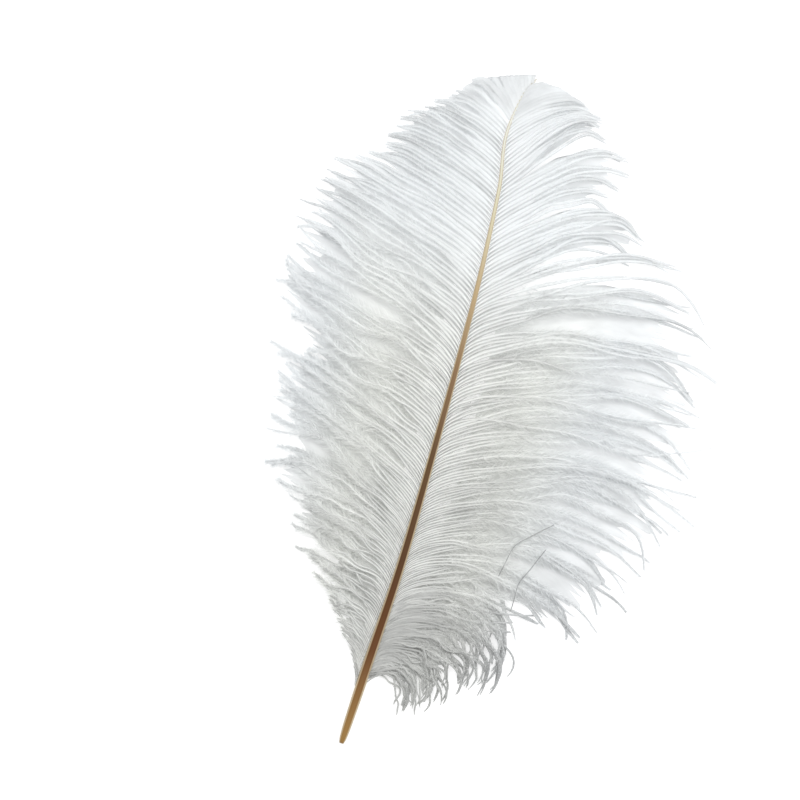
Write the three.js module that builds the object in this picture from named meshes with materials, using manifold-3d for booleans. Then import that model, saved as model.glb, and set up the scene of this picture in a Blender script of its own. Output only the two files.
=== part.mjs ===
// An ostrich plume lying on a flat surface: its quill, and the two vanes of barb locks that grow from it.
// Millimetres. +Z is up and +Y runs from the quill's end to the tip. The origin is under the plume's middle.

import * as THREE from "three";
import { mergeVertices } from "three/addons/utils/BufferGeometryUtils.js";
import Module from "manifold-3d";

// The quill, at stations along its length. It lies on the surface at its bare end, arches up between the
// vanes and comes down again where the tip curls over. aside is its sweep towards +X, and under is the
// height of its underside.
const QUILL = [
  { along: 0, aside: 0.0, under: 0.0, width: 1.3 },
  { along: 1.5, aside: 0.05, under: 0.0, width: 2.0 },
  { along: 6, aside: 0.2, under: 0.0, width: 2.5 },
  { along: 20, aside: 0.7, under: 0.0, width: 2.9 },
  { along: 59, aside: 1.9, under: 6.0, width: 2.5 },
  { along: 94, aside: 1.5, under: 10.5, width: 2.0 },
  { along: 130, aside: 0.6, under: 12.5, width: 1.5 },
  { along: 165, aside: -1.6, under: 12.5, width: 1.0 },
  { along: 181, aside: -4.0, under: 10.5, width: 0.8 },
  { along: 193, aside: -2.6, under: 5.5, width: 0.6 },
  { along: 199.5, aside: 0.0, under: 0.6, width: 0.4 },
];
const QUILL_SIDES = 10; // a count with a flat side underneath
const QUILL_DEPTH = 0.85; // depth over width
const QUILL_STEP = 5;
const TANGENT_STEP = 0.5; // how far to each side the quill's direction is taken over

// Each vane, at stations along the quill where its barbs are rooted. out and along are the place of the
// barb's tip: its distance from the quill's end to the vane's own side, and along +Y. leave and arrive are
// the barb's directions at its root and at its tip, in degrees from +Y towards the vane's own side.
const LEFT_BARBS = [
  { root: 19, out: 3, along: 26, leave: 20, arrive: 36 },
  { root: 21, out: 15, along: 42, leave: 24, arrive: 42 },
  { root: 24, out: 27, along: 54, leave: 28, arrive: 48 },
  { root: 36, out: 31, along: 62, leave: 34, arrive: 62 },
  { root: 52, out: 42, along: 68, leave: 38, arrive: 84 },
  { root: 66, out: 50, along: 84, leave: 38, arrive: 84 },
  { root: 88, out: 45, along: 104, leave: 38, arrive: 72 },
  { root: 95, out: 40, along: 109, leave: 38, arrive: 72 },
  { root: 99, out: 50, along: 116, leave: 38, arrive: 70 },
  { root: 107, out: 55, along: 124, leave: 38, arrive: 72 },
  { root: 122, out: 53, along: 139, leave: 37, arrive: 76 },
  { root: 136, out: 51, along: 151, leave: 36, arrive: 82 },
  { root: 147, out: 45, along: 161, leave: 35, arrive: 84 },
  { root: 158, out: 38, along: 172, leave: 34, arrive: 86 },
  { root: 166, out: 32, along: 182, leave: 34, arrive: 86 },
  { root: 176, out: 25, along: 187, leave: 33, arrive: 88 },
  { root: 190, out: 14, along: 194, leave: 32, arrive: 86 },
  { root: 197, out: 5, along: 198, leave: 30, arrive: 70 },
];
const RIGHT_BARBS = [
  { root: 22, out: 14, along: 12, leave: 62, arrive: 172 },
  { root: 33, out: 28, along: 22, leave: 60, arrive: 174 },
  { root: 39, out: 37, along: 27, leave: 52, arrive: 176 },
  { root: 43, out: 38.5, along: 35, leave: 46, arrive: 174 },
  { root: 45, out: 43, along: 51, leave: 50, arrive: 112 },
  { root: 48, out: 54, along: 48, leave: 48, arrive: 130 },
  { root: 52, out: 61, along: 57, leave: 46, arrive: 122 },
  { root: 62, out: 71, along: 77, leave: 42, arrive: 118 },
  { root: 72, out: 74, along: 91, leave: 40, arrive: 116 },
  { root: 92, out: 74, along: 114, leave: 38, arrive: 114 },
  { root: 112, out: 69, along: 131, leave: 37, arrive: 108 },
  { root: 122, out: 65, along: 143, leave: 36, arrive: 100 },
  { root: 128, out: 53, along: 157, leave: 35, arrive: 86 },
  { root: 133, out: 44, along: 160, leave: 35, arrive: 92 },
  { root: 145, out: 37, along: 169, leave: 34, arrive: 90 },
  { root: 155, out: 30, along: 175, leave: 34, arrive: 84 },
  { root: 165, out: 31, along: 186, leave: 34, arrive: 86 },
  { root: 180, out: 20, along: 195, leave: 32, arrive: 82 },
  { root: 190, out: 9, along: 198, leave: 30, arrive: 84 },
  { root: 197, out: 2, along: 199, leave: 28, arrive: 60 },
];

// Locks: bundles of barbs that lie side by side at the quill and part towards their tips.
const LEFT_LOCKS = 30;
const RIGHT_LOCKS = 36;
const LOCK_THICKNESS = 1.3; // at the quill
const TIP_THICKNESS = 0.6;
const OVERLAP = 1.35; // a lock's width over the room between its neighbours' middle lines
const WIDEST = 9; // a lock, however far its neighbours part
const SLENDER = 0.28; // a lock's greatest width over its length, for the short ones
const TIP_SHARE = 0.14; // a lock's width at its tip over its greatest width
const PARTING = 0.68; // where along its length a lock starts to narrow
const ROOT_TURN = 0.3; // where along its length a lock has turned square to its own line
const LOCK_STEPS = [0, 0.09, 0.2, 0.32, 0.46, 0.6, 0.74, 0.88, 1];
const CROWN = 0.05; // how far, over its reach, a lock rises beside the quill before it droops
const HIGHEST_TIP = 4; // of the tips that don't touch the surface
const TIP_SCATTER = 1.6;
const ARRIVE_SCATTER = 8;
const TRAITS = { out: 1, along: 2, arrive: 3, height: 4 }; // in which locks differ from one another
const GAP = 0.35; // clear space between the quill and each vane

const KERATIN_BROWN = { color: 0x8a6238, roughness: 0.42, metalness: 0 };
const PLUME_WHITE = { color: 0xeceeea, roughness: 0.85, metalness: 0 };

const UP = new THREE.Vector3(0, 0, 1);
const { clamp, degToRad, lerp, smoothstep } = THREE.MathUtils;
const wasm = await Module();
wasm.setup();

// A smooth curve, with no overshoot, through one field of a list of stations.
function through(stations, place, field) {
  const x = stations.map((station) => station[place]);
  const y = stations.map((station) => station[field]);
  const last = x.length - 1;
  const rise = x.slice(1).map((_, i) => (y[i + 1] - y[i]) / (x[i + 1] - x[i]));
  const slope = x.map((_, i) => {
    if (i === 0) return rise[0];
    if (i === last) return rise[last - 1];
    const turns = rise[i - 1] * rise[i] <= 0;
    return turns ? 0 : (2 * rise[i - 1] * rise[i]) / (rise[i - 1] + rise[i]);
  });
  return (at) => {
    const inside = clamp(at, x[0], x[last]);
    const i = Math.min(last - 1, x.findLastIndex((start) => start <= inside));
    const span = x[i + 1] - x[i];
    const t = (inside - x[i]) / span;
    const u = 1 - t;
    return (
      y[i] * (1 + 2 * t) * u * u +
      y[i + 1] * (3 - 2 * t) * t * t +
      span * (slope[i] * t * u * u - slope[i + 1] * u * t * t)
    );
  };
}

// A fixed spread of values from -1 to 1, one for each lock and trait.
function scatter(lock, trait) {
  const mixed = Math.sin(lock * 12.9898 + trait * 78.233) * 43758.5453;
  return 2 * (mixed - Math.floor(mixed)) - 1;
}

// A closed skin over rings of points, each ring turning from across to up as seen from behind the first one.
function loft(rings) {
  const sides = rings[0].length;
  const index = [];
  for (let ring = 0; ring + 1 < rings.length; ring++) {
    for (let side = 0; side < sides; side++) {
      const a = ring * sides + side;
      const b = ring * sides + ((side + 1) % sides);
      index.push(a, a + sides, b, b, a + sides, b + sides);
    }
  }
  const end = (rings.length - 1) * sides;
  for (let side = 1; side + 1 < sides; side++) {
    index.push(0, side, side + 1);
    index.push(end, end + side + 1, end + side);
  }
  return new THREE.BufferGeometry().setFromPoints(rings.flat()).setIndex(index);
}

// Several closed geometries that overlap, as one.
function fuse(geometries) {
  const solids = geometries.map((geometry) => {
    const merged = mergeVertices(geometry);
    const vertProperties = merged.getAttribute("position").array;
    const triVerts = new Uint32Array(merged.index.array);
    return new wasm.Manifold(new wasm.Mesh({ numProp: 3, vertProperties, triVerts }));
  });
  const mesh = solids.reduce((whole, solid) => whole.add(solid)).getMesh();
  return new THREE.BufferGeometry()
    .setAttribute("position", new THREE.BufferAttribute(mesh.vertProperties, 3))
    .setIndex(new THREE.BufferAttribute(mesh.triVerts, 1));
}

// The quill's line and size at any place along it.
const quillAside = through(QUILL, "along", "aside");
const quillUnder = through(QUILL, "along", "under");
const quillWidth = through(QUILL, "along", "width");
const QUILL_LENGTH = QUILL.at(-1).along;
const FLAT_SIDE = Math.cos(Math.PI / QUILL_SIDES); // a flat side's distance from the middle, over a corner's

function quillPoint(along) {
  const middle = (quillWidth(along) * QUILL_DEPTH * FLAT_SIDE) / 2;
  return new THREE.Vector3(quillAside(along), along, quillUnder(along) + middle);
}

function quillTangent(along) {
  const behind = quillPoint(Math.max(0, along - TANGENT_STEP));
  const ahead = quillPoint(Math.min(QUILL_LENGTH, along + TANGENT_STEP));
  return ahead.sub(behind).normalize();
}

function quillGeometry() {
  const even = Array.from({ length: Math.ceil(QUILL_LENGTH / QUILL_STEP) }, (_, i) => i * QUILL_STEP);
  const places = [...new Set([...even, ...QUILL.map((station) => station.along)])].sort((a, b) => a - b);
  return loft(
    places.map((along) => {
      const across = new THREE.Vector3().crossVectors(quillTangent(along), UP).normalize();
      return Array.from({ length: QUILL_SIDES }, (_, side) => {
        const turn = (2 * Math.PI * side) / QUILL_SIDES;
        return quillPoint(along)
          .addScaledVector(across, (Math.cos(turn) * quillWidth(along)) / 2)
          .addScaledVector(UP, (Math.sin(turn) * quillWidth(along) * QUILL_DEPTH) / 2);
      });
    }),
  );
}

// A level direction, in degrees from +Y towards one side of the quill.
function towards(side, degrees) {
  const turn = degToRad(degrees);
  return new THREE.Vector3(side * Math.sin(turn), Math.cos(turn), 0);
}

// How far the handles of a line reach, over its straight length, for it to bend evenly by some degrees.
function arcHandle(degrees) {
  const bend = degToRad(degrees);
  return ((2 / 3) * Math.tan(bend / 4)) / Math.sin(bend / 2);
}

// The middle line of the lock rooted at a place along the quill.
function lockLine(barbs, side, root, lock) {
  const at = (field) => through(barbs, "root", field)(root);
  const start = quillPoint(root);
  start.x += side * (quillWidth(root) / 2 + GAP);
  const out = at("out") + TIP_SCATTER * scatter(lock, side * TRAITS.out);
  const along = at("along") + TIP_SCATTER * scatter(lock, side * TRAITS.along);
  const tipHeight = TIP_THICKNESS / 2 + HIGHEST_TIP * Math.max(0, scatter(lock, side * TRAITS.height));
  const tip = new THREE.Vector3(side * out, along, tipHeight);
  const reach = tip.distanceTo(start);
  const leave = at("leave");
  const arrive = at("arrive") + ARRIVE_SCATTER * scatter(lock, side * TRAITS.arrive);
  const handle = reach * arcHandle(arrive - leave);
  const leaving = start.clone().addScaledVector(towards(side, leave), handle);
  leaving.z += CROWN * reach;
  const arriving = tip.clone().addScaledVector(towards(side, arrive), -handle);
  arriving.z = (start.z + tip.z) / 2 + CROWN * reach;
  return new THREE.CubicBezierCurve3(start, leaving, arriving, tip);
}

// One lock: a blade with a ridge above and below. It fills the room between its neighbours and is pointed.
function lockGeometry(line, side, root, rootRoom, outerRoom) {
  const alongQuill = quillTangent(root).multiplyScalar(-side);
  const rootWidth = OVERLAP * rootRoom;
  const outerWidth = Math.min(WIDEST, OVERLAP * outerRoom, SLENDER * line.getLength());
  return loft(
    LOCK_STEPS.map((t) => {
      const tangent = line.getTangent(t);
      const square = new THREE.Vector3().crossVectors(tangent, UP).normalize();
      const across = alongQuill.clone().lerp(square, smoothstep(t, 0, ROOT_TURN)).normalize();
      const up = new THREE.Vector3().crossVectors(across, tangent).normalize();
      const spread = lerp(rootWidth, outerWidth, smoothstep(t, 0, PARTING));
      const narrowing = lerp(1, TIP_SHARE, smoothstep(t, PARTING, 1));
      const halfWidth = (spread * narrowing) / 2;
      const halfThickness = lerp(LOCK_THICKNESS, TIP_THICKNESS, t) / 2;
      const middle = line.getPoint(t);
      return [
        middle.clone().addScaledVector(across, halfWidth),
        middle.clone().addScaledVector(up, halfThickness),
        middle.clone().addScaledVector(across, -halfWidth),
        middle.clone().addScaledVector(up, -halfThickness),
      ];
    }),
  );
}

// Where along the quill a vane's locks are rooted: closer together where their tips fan out.
function lockRoots(barbs, locks) {
  let run = 0;
  const marks = barbs.map((barb, i) => {
    const before = barbs[Math.max(0, i - 1)];
    run += barb.root - before.root + Math.hypot(barb.out - before.out, barb.along - before.along);
    return { run, root: barb.root };
  });
  const rootAt = through(marks, "run", "root");
  return Array.from({ length: locks }, (_, lock) => rootAt(((lock + 0.5) / locks) * run));
}

// A vane: its locks, side by side along the quill and fused where they overlap. side is -1 for the left vane.
function vaneGeometry(barbs, side, locks) {
  const roots = lockRoots(barbs, locks);
  const lines = roots.map((root, lock) => lockLine(barbs, side, root, lock));
  const partings = lines.map((line) => line.getPoint(PARTING));
  return fuse(
    lines.map((line, lock) => {
      const before = Math.max(0, lock - 1);
      const after = Math.min(locks - 1, lock + 1);
      const rootRoom = (roots[after] - roots[before]) / (after - before);
      const outerRoom = partings[after].distanceTo(partings[before]) / (after - before);
      return lockGeometry(line, side, roots[lock], rootRoom, outerRoom);
    }),
  );
}

function piece(name, geometry, look) {
  const mesh = new THREE.Mesh(geometry, new THREE.MeshStandardMaterial(look));
  mesh.name = name;
  return mesh;
}

const feather = new THREE.Group();
feather.add(
  piece("quill", quillGeometry(), KERATIN_BROWN),
  piece("left_vane", vaneGeometry(LEFT_BARBS, -1, LEFT_LOCKS), PLUME_WHITE),
  piece("right_vane", vaneGeometry(RIGHT_BARBS, 1, RIGHT_LOCKS), PLUME_WHITE),
);

// The plume lies on the surface, with the origin under the middle of its box.
const box = new THREE.Box3().setFromObject(feather);
const middle = box.getCenter(new THREE.Vector3());
feather.position.set(-middle.x, -middle.y, -box.min.z);

export default feather;
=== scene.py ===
import math
from collections import namedtuple

import bpy
import numpy as np
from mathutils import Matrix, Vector


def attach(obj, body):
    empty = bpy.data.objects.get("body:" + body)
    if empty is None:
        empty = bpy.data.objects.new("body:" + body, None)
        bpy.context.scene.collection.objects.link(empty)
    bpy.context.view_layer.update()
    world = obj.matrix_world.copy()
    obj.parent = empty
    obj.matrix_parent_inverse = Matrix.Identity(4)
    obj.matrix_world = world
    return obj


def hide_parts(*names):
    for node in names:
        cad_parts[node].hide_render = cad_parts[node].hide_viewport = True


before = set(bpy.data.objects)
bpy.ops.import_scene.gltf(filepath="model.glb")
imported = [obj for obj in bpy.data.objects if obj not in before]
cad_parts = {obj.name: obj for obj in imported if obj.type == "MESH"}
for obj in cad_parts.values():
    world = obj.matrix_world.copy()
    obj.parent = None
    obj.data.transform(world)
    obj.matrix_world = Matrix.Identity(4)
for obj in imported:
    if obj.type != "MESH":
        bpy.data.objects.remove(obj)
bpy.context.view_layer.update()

# A white ostrich plume lying on a pale floor, seen from straight above. Its two vanes are rows of single
# barbs, each an arched strip with soft barbules on both sides. Neighbouring barbs cling into strands, which
# lie about as the locks of the solids do, and a veil of the finest down lies low under them.
# Lengths are in millimetres from the quill's end until a mesh is made. +Y runs to the tip and +Z is up.

rng = np.random.default_rng(7)

# The quill at stations: along, aside, height of its underside, width.
QUILL = np.array([
    (0, 0.0, 0.0, 1.3),
    (1.5, 0.05, 0.0, 2.0),
    (6, 0.2, 0.0, 2.5),
    (20, 0.7, 0.0, 2.9),
    (59, 1.9, 6.0, 2.5),
    (94, 1.5, 10.5, 2.0),
    (130, 0.6, 12.5, 1.5),
    (165, -1.6, 12.5, 1.0),
    (181, -4.0, 10.5, 0.8),
    (193, -2.6, 5.5, 0.6),
    (199.5, 0.0, 0.6, 0.4),
])
ASIDE, UNDERSIDE, WIDTH = 1, 2, 3
QUILL_DEPTH = 0.85  # as a share of its width
FLAT_SIDE = math.cos(math.pi / 10)  # how far its flat underside is from its middle, as a share

# The vanes at stations: root along the quill, tip aside and along, and the directions in which a line
# leaves the quill and arrives at its tip, in degrees from the quill's own.
LEFT_BARBS = np.array([
    (19, 1.5, 21, 50, 60),
    (23, 5, 27, 52, 62),
    (29, 11, 34, 54, 66),
    (36, 18.5, 44, 56, 70),
    (43, 26, 53, 58, 74),
    (50, 31, 60, 60, 78),
    (55, 33, 66, 60, 84),
    (59, 42, 69, 60, 90),
    (64, 43, 78, 61, 88),
    (69, 47, 88, 62, 84),
    (78, 46.5, 97, 63, 77),
    (86, 47.5, 104, 64, 72),
    (92, 40, 106, 64, 70),
    (97, 45, 111, 64, 68),
    (103, 53, 119.5, 64, 66),
    (109, 55, 126, 64, 70),
    (121, 53.5, 138.5, 64, 74),
    (135.5, 51.5, 151.5, 66, 78),
    (150, 46.5, 163.5, 68, 80),
    (153, 40, 165.5, 68, 81),
    (159, 37, 169.5, 69, 82),
    (168, 34, 177.5, 69, 82),
    (171, 32.5, 180, 69, 83),
    (178, 26.5, 185, 68, 84),
    (190, 14, 194, 60, 84),
    (197, 5, 198, 44, 70),
    (199.2, 1, 200, 30, 50),
])
RIGHT_BARBS = np.array([
    (22, 13.5, 14, 62, 172),
    (33, 27.5, 22.5, 60, 174),
    (39, 36, 27.5, 52, 176),
    (43, 36.5, 36, 46, 174),
    (45, 43, 51, 51, 112),
    (51, 54, 48, 54, 130),
    (58, 61, 57, 56, 124),
    (71, 71, 77, 58, 116),
    (82, 74, 91, 57, 111),
    (101, 74, 114, 55, 108),
    (117, 69, 131, 54, 104),
    (125, 65.5, 144.5, 53, 102),
    (130, 61, 148.5, 53, 102),
    (132, 54.5, 157, 52, 98),
    (134.5, 53, 158.5, 52, 98),
    (135.8, 42, 157.5, 52, 112),
    (142, 42.5, 163.5, 51, 110),
    (149.5, 36.5, 168, 50, 108),
    (151, 29, 171, 49, 92),
    (157, 31.5, 177, 48, 90),
    (161, 31.5, 184, 47, 88),
    (164.5, 30, 187, 47, 86),
    (166.6, 22, 190.5, 46, 82),
    (180, 19, 195, 44, 82),
    (190, 9, 198, 42, 84),
    (197, 2, 199, 38, 60),
])
OUT, ALONG, LEAVE, ARRIVE = 1, 2, 3, 4

# Locks, about as in the solids.
LOCK_GAP = 0.35  # from the side of the quill to where a lock starts
TIP_THICKNESS = 0.6
CROWN = 0.05  # how far a line rises, as a share of its reach
HIGHEST_TIP = 4
TIP_SCATTER = 1.6
ARRIVE_SCATTER = 8
OUT_TRAIT, ALONG_TRAIT, ARRIVE_TRAIT, HEIGHT_TRAIT = 1, 2, 3, 4  # in which locks differ from one another

# Where the single barbs are rooted: their spacing at places along the quill.
BARB_SPACING = np.array([
    (20, 0.8),
    (65, 0.85),
    (97, 1.15),
    (127, 1.3),
    (157, 1.4),
    (199, 1.2),
])
BARB_GAP = -0.1  # from the side of the quill to where a barb starts
ROOT_GRID = 600
ROOT_JITTER = 0.08  # as a share of the spacing
FAN_RATE = 1.6  # tips farther apart than this many times their roots draw the roots closer together
FAN_POWER = 0.6

# The downy tuft at the base of the right vane. The left vane's first barbs are a little like it.
TUFT_END = 43  # its last root
TUFT_SPAN = (TUFT_END - 10, TUFT_END + 6)  # from where to where along the quill it gives way to plain barbs
LEFT_TUFT = 0.35
LEFT_TUFT_SPAN = (25, 50)
TUFT_CROWDING = 4.5
TUFT_CURL = 18  # how much farther the tuft's barbs turn than its locks, in degrees
TUFT_LOSS = 0.3  # how much shorter its strands may be
TUFT_FREEDOM = 0.6  # how much less its barbs cling together

# Towards the tip of the plume the barbs lie neatly: from where and where in full, and by how much they are
# less loose, less gathered, less drifting, less hooked, less shortened and less twisted there.
NEAT_SPAN = (105, 160)
NEAT_LOOSE = 0.75
NEAT_GATHER = 0.65
NEAT_DRIFT = 0.8
NEAT_HOOK = 0.45
NEAT_LOSS = 0.5
NEAT_TWIST = 0.8

# The lines of single barbs.
BARB_POINTS = 36
POINT_POWER = 1.25  # draws the points closer together towards the root
ROOT_HOOK = 2.0  # how far down the quill a barb is rooted from where its sweep would start
HOOK_REACH = 2.4
LONGEST = 1.06  # as a share of its line
STRAND_LOSS = 0.16  # how much shorter a strand may be
BARB_LOSS = 0.06  # and how much shorter each of its barbs
LONG_BARB = 30  # barbs shorter than this stray less
GATHER_SPAN = (0.5, 1)  # from where to where along a barb it is drawn to its lock
LOWEST_TIP = 0.4
LOWEST_BARB = 0.25

# By how much strands differ by chance: in the root by which they choose a lock, in their tips, and in height.
LOCK_CHANCE = 1.2
OUT_CHANCE = 1.8
ALONG_CHANCE = 1.2
HEIGHT_CHANCE = 0.6
LIFT_CHANCE = 0.35
LIFT_SPAN = (0.05, 0.4)

# Waves in which locks, strands and barbs drift aside: their size, and the fewest and most from end to end.
# Each drift grows to its full size over a span of the barb.
Waves = namedtuple("Waves", "size fewest most")
WAVES_MIXED = 3
LOCK_DRIFT = Waves(0.3, 0.6, 1.4)
LOCK_SPAN = (0.1, 0.7)
STRAND_DRIFT = Waves(0.75, 0.8, 2.6)
STRAND_SPAN = (0.1, 0.5)
BARB_DRIFT = Waves(0.2, 1, 3)
BARB_SPAN = (0.1, 0.4)

# The tips of strands bend down the plume, most where it is neat.
TIP_DROOP = 3.4
LOOSE_DROOP = 0.3  # as a share of that of the neat ones
DROOP_SPAN = (0.8, 1.04)

# How many neighbouring barbs cling together as a strand, at places along the quill.
STRAND_BARBS = np.array([
    (20, 1.6),
    (45, 2.2),
    (70, 2.8),
    (116, 2.8),
    (124, 1.6),
    (136, 1.6),
    (150, 2.0),
    (199, 1.5),
])
STRAND_MIXING = 0.3
CLING_SPAN = (0.45, 0.9)  # from where to where along a barb it comes to lie beside its neighbours
STRAND_STEP = 0.3  # from barb to barb in a strand
NEAT_STEP = 0.7

# A barb is a narrow arched strip with a light ridge: points across it, how far out and how far down.
STRIP = np.array([(-1, 0.6), (-0.5, 0.15), (0, 0), (0.5, 0.15), (1, 0.6)])
STRIP_TWIST = Waves(0.5, 2, 8)  # its size in radians
LOWEST_STRIP = 0.04

# Widths of the strips, by the quill and farther out as shares of the spacing of their roots, and those of
# single kinds. Spans are distances from the root or shares of the barb.
ROOT_SHARE = 0.95
ROOT_SPAN = (4, 14)
LOOSE_SHARE = 0.65
NEAT_SHARE = 0.85
TUFT_WIDTH = 0.55
THREAD_WIDTH = 0.3
STRAND_WIDTH = np.array([(20, 0.75), (50, 0.75), (72, 0.45), (199, 0.45)])  # at places along the quill
STRAND_WIDTH_SPAN = (0.3, 0.7)
NEAT_STRAND = 0.6  # how much less the neat barbs take on a strand's width
START_WIDTH = 0.6
START_SPAN = (0, 4)
TIP_NARROWING = 0.6
NARROWING_SPAN = (0.94, 1)

# Near the very tip of the plume the barbs lie over each other as a smooth sheet: where, and where in full.
WEB = (176, 190)
WEB_WIDTH = 1.9
WEB_FLATNESS = 0.85
WEB_EVENNESS = 0.75  # of tone
# Painted ridge highlight and edge shade in the sheet, nearly even.
WEB_RIDGE = 0.85
WEB_EDGE = 0.83

# How light barbs are: at the base of the plume, how much lighter at its tip, and how much darker in the tuft,
# as painted shade of its dense strands.
BASE_TONE = 0.845
TONE_RISE = 0.105
TONE_SPAN = (15, 130)
TUFT_PAINTED_SHADE = 0.12
TONE_CHANCE = 0.05
BARB_LIGHTNESS = 0.86  # times all of these

# Painted highlight on a barb's ridge and painted shade on its edges, as shares of its tone. Away from the
# quill they come closer together.
PAINTED_RIDGE_LIGHT = 1.1
PAINTED_EDGE_SHADE = 0.66
RIDGE_FADE = 0.16
EDGE_FADE = 0.08
FADE_SPAN = (5, 20)
THREAD_SHADE = 0.58
# In the tuft, painted contrast is taken from the ridge highlight and given to the edge shade.
TUFT_CONTRAST = 0.2  # taken from the ridge and given to the edges
NEAT_EDGE = 0.14

# Painted shade on a barb's edges where it leaves the quill, for the shaded gaps there: how dark, how much
# less where it is neat, and how far it reaches.
PAINTED_ROOT_SHADE = 0.5
NEAT_ROOT_SHADE = 0.3
ROOT_SHADE_REACH = 4
ROOT_SHADE_SHARE = 0.15  # of a short barb

# Outwards barbs are painted darker, as shade of barbs with light behind them: a little where they are loose,
# more where firm, as the first and the neat ones are.
FIRM_END = (52, 75)
LOOSE_SHADE = 0.02
FIRM_EDGE_SHADE = 0.1
EDGE_SHADE_SPAN = (0.5, 0.9)
FIRM_RIDGE_SHADE = 0.21
RIDGE_SHADE_SPAN = (0.45, 0.9)

# Between the painted edge shade and ridge highlight: how near the shoulder is to the ridge by the quill, and
# how much nearer farther out.
SHOULDER = 0.35
SHOULDER_RISE = 0.5
SHOULDER_SPAN = (5, 30)

# Two kinds of barbules, close along the barb and downy. Their angles to the barb are those at root and tip.
Barbules = namedtuple("Barbules", "spacing length open close width sag")
CLOSE_BARBULES = Barbules(0.24, 3.2, 26, 8, 0.1, 0.12)
DOWNY_BARBULES = Barbules(0.5, 4.8, 48, 28, 0.1, 0.25)
RIBBON_POINTS = 5
RIBBON_TRIANGLES = 3
BARE_ROOT = 3  # no barbules nearer to the quill than this, or than a share of a short barb
BARE_ROOT_SHARE = 0.25

# How long barbules are: by the quill as a share of their full length, and how much shorter on neat barbs, in
# the tuft and by chance.
FIRST_BARBULE = 0.2
BARBULE_GROWTH = (3, 16)
NEAT_BARBULE = 0.6
TUFT_BARBULE = 0.6
THIN_SPAN = (0.45, 0.9)
BARBULE_CHANCE = (0.6, 1.25)

# How barbules bend, with the spread of their angles in degrees.
OPEN_CHANCE = 8
CLOSE_CHANCE = 7
ROLL_CHANCE = 30
SAG_CHANCE = 0.2
ROOT_HANG = 0.7  # how much more they sag by the quill
HANG_SPAN = (4, 22)
TIP_SAG = 1.5
BEND_PLACE = 0.45
BEND_WIDTH = 0.8
LOWEST_BARBULE = 0.08

# How light barbules are, as a share of their barb's tone: by the quill painted darker, as shade where they
# hang under the barbs, and how much lighter outwards.
SHADED_INNER_BARBULE = 0.82
BARBULE_RISE = 0.2
BARBULE_TONE_SPAN = (0.1, 0.6)
BARBULE_TONE_CHANCE = 0.1

# The finest down, a pale veil low under the barbs: where along the quill it begins and ends, its spacing
# there, its points along a barb, the share of the barb where it begins, the share of its fringe, and its
# height as a share of theirs.
VEIL_ROOTS = (24, 198)
VEIL_SPACING = 0.5
VEIL_ROWS = 20
VEIL_FROM = 0.12
VEIL_FRINGE = 0.16
VEIL_DROP = 0.6
LOWEST_VEIL = 0.1

# It draws back where tips are this many times as far apart as their roots, is split where they are still
# farther apart, and ends earlier under the tuft.
VEIL_PARTING = (1.6, 4)
VEIL_RETREAT = 0.4
VEIL_SPLIT = 5
VEIL_TUFT_GAP = 0.25
VEIL_TUFT_SPAN = (TUFT_END, TUFT_END + 6)

# How light it is at its inner and its outer parts, and how much darker at the base of the plume.
VEIL_TONES = (0.77, 0.68)
VEIL_TONE_SPAN = (0.25, 0.65)
VEIL_BASE_SHADE = 0.15
VEIL_BASE_SPAN = (40, 65)

# Painted light and shade in streaks, for the lit and shaded sides of locks, one or two barbs wide and some
# millimetres long.
LIGHT_STREAK_SIZE = (2, 10, 1)
LIGHT_STREAK_STRENGTH = 0.28

# The straight fold where the tip of the left vane turns under: two points of it in plan, how softly it ends
# at each, how far the barbs reach past their tips to be turned under, from which roots on, and how steeply.
FOLD = np.array([(-14.5, 195.5), (0.0, 200.8)])
FOLD_ENDS = (4, 3)
FOLD_EXTRA = 5
FOLD_ROOTS = (182, 192)
FOLD_DROP = 0.8

# Single barbs out of place, as points: two that lie across the others, three that stand out beside the tuft.
STRAY_BARBS = [
    [(40.6, 77.8, 8), (36.1, 73.6, 8.5), (31.2, 68.1, 8.5), (30.2, 62.8, 8), (29.4, 58.4, 7)],
    [(40.4, 70.3, 7.5), (38, 64.3, 7.5), (35.7, 57.9, 6.5), (35.8, 50.4, 5)],
    [(30, 48.5, 5), (36, 49.4, 4.5), (43.3, 51.2, 3.5)],
    [(31, 45.6, 4.5), (37.5, 47.4, 3.5)],
    [(31, 43, 4), (37.8, 44.6, 3)],
]
BARE_STRAYS = 2  # the first of them are bare threads

# Crimped wisps that hang from the base of the right vane, as points from the quill outwards.
WISPS = [
    [(2, 19, 1.6), (6, 23, 3), (8.8, 22.5, 2.6), (10.9, 18.1, 1.6), (12.5, 15.2, 0.9), (13.1, 12.2, 0.4)],
    [(2, 20, 1.8), (8, 23.5, 3.2), (10.9, 22.3, 2.6), (13.8, 18, 1.4), (16, 16.6, 0.6)],
    [(2, 21, 2), (9, 25, 3.4), (12.6, 23.6, 2.8), (16.5, 18.9, 1.4), (17.9, 13.6, 0.4)],
    [(2, 22, 2.2), (11, 26, 3.6), (15.3, 22.7, 2.4), (19, 16, 0.5)],
]
CRIMP = Waves(0.3, 4, 7)
CRIMP_SPAN = (0.3, 0.6)

COOL_SPAN = (18, 45)  # from the quill outwards, the white becomes cooler
QUILL_STEP = 0.8
QUILL_SIDES = 20
TRIANGLES_A_PIECE = 185000
METRE = 1000  # in millimetres
END_REACH = 0.5  # how much of the quill is taken as its end

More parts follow.
